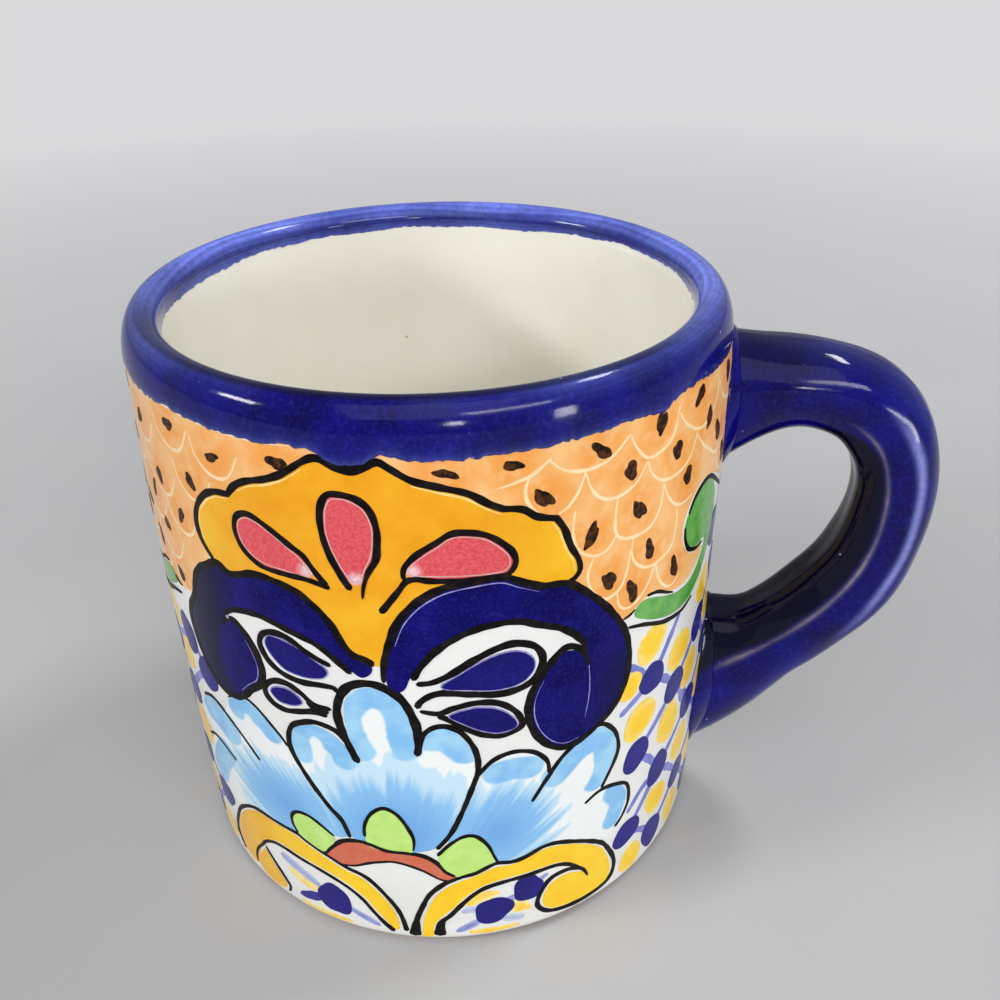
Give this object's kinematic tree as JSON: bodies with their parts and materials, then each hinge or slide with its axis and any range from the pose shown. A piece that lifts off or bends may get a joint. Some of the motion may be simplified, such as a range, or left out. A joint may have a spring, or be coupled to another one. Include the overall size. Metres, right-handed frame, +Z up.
{
  "type": "coffee mug",
  "caption": "Straight-sided earthenware coffee mug with a rounded lip, a luted side loop handle and hand-painted talavera ornament under a gloss glaze.",
  "frame": {"origin": "centre of the foot's flat underside, on the cup's axis", "axes": "+Z up along the cup's axis, +X from the axis towards the handle, +Y completes the right-handed frame"},
  "size_m": [0.1235, 0.0906, 0.095],
  "materials": {
    "clay": "bare fired earthenware",
    "cobalt_glaze": "deep cobalt gloss glaze, thinner and paler on the crest of the lip",
    "cream_glaze": "cream gloss glaze",
    "white_glaze": "white tin glaze, gloss",
    "orange_enamel": "orange brushed enamel, gloss",
    "yellow_enamel": "yellow brushed enamel, gloss",
    "red_enamel": "red speckled enamel, gloss",
    "sky_enamel": "sky-blue brushed enamel, gloss",
    "green_enamel": "green enamel, gloss",
    "black_line": "black outline, gloss"
  },
  "bodies": {
    "root": {"cup_body": "clay", "handle": "clay", "upper_slip_joint": "cobalt_glaze", "lower_slip_joint": "cobalt_glaze", "liner_glaze": "cream_glaze", "outer_glaze": "white_glaze", "rim_glaze": "cobalt_glaze", "handle_glaze": "cobalt_glaze"}
  },
  "joints": []
}
